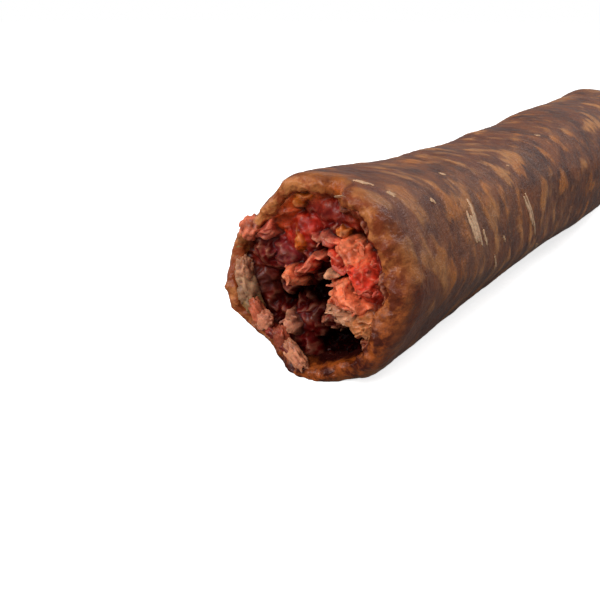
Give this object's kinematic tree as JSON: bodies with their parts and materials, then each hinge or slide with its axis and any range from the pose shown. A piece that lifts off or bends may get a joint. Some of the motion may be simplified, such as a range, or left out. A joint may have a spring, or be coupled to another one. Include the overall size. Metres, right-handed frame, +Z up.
{
  "type": "cured sausage",
  "caption": "Long dry-cured sausage in a wrinkled natural casing, torn open at one end to show coarse meat and twisted shut at the other.",
  "frame": {"origin": "on the surface it rests on, under the middle of its bounding box", "axes": "+Y along the sausage from the torn end to the closed end, +Z up"},
  "size_m": [0.0309, 0.1582, 0.0264],
  "materials": {
    "casing": "satin"
  },
  "bodies": {
    "root": {"sausage": "casing"}
  },
  "joints": []
}
